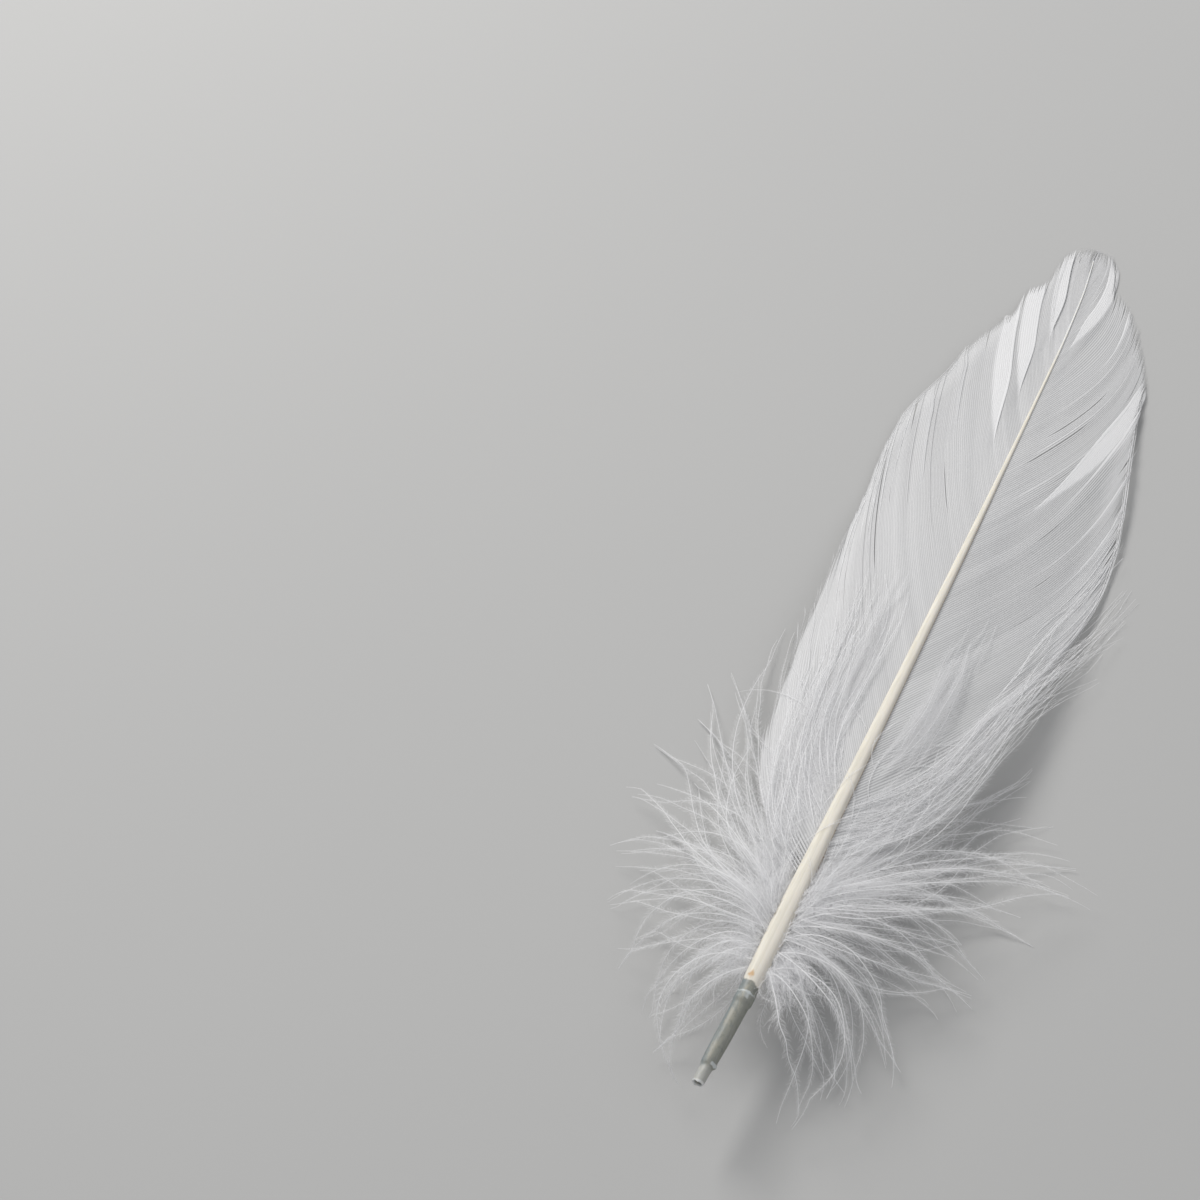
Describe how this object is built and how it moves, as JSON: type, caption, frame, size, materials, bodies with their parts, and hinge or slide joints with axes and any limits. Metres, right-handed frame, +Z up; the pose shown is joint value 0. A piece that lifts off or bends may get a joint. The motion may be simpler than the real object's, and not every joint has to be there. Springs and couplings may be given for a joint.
{
  "type": "goose quill feather",
  "caption": "White goose quill feather lying on its down: trimmed hollow quill, tapering cream shaft, a wide and a narrow vane with slipped and split barbs, loose down at the foot.",
  "frame": {"origin": "on the surface the feather lies on, under the middle of its bounding box", "axes": "+Y along the feather from the cut quill to the tip of the vane, +X towards the wider vane, +Z up out of the feather's smooth upper side"},
  "size_m": [0.0698, 0.1778, 0.0125],
  "materials": {
    "quill_horn": "cream horn, satin, clearing to grey-olive translucent horn at the cut end",
    "vane_barbs": "white, matt with a faint silky sheen along the barbs, see-through where single",
    "down_barbs": "white with a faint lilac-grey cast, fluffy and matt"
  },
  "bodies": {
    "root": {"shaft": "quill_horn", "left_vane": "vane_barbs", "right_vane": "vane_barbs", "left_down": "down_barbs", "right_down": "down_barbs"}
  },
  "joints": []
}
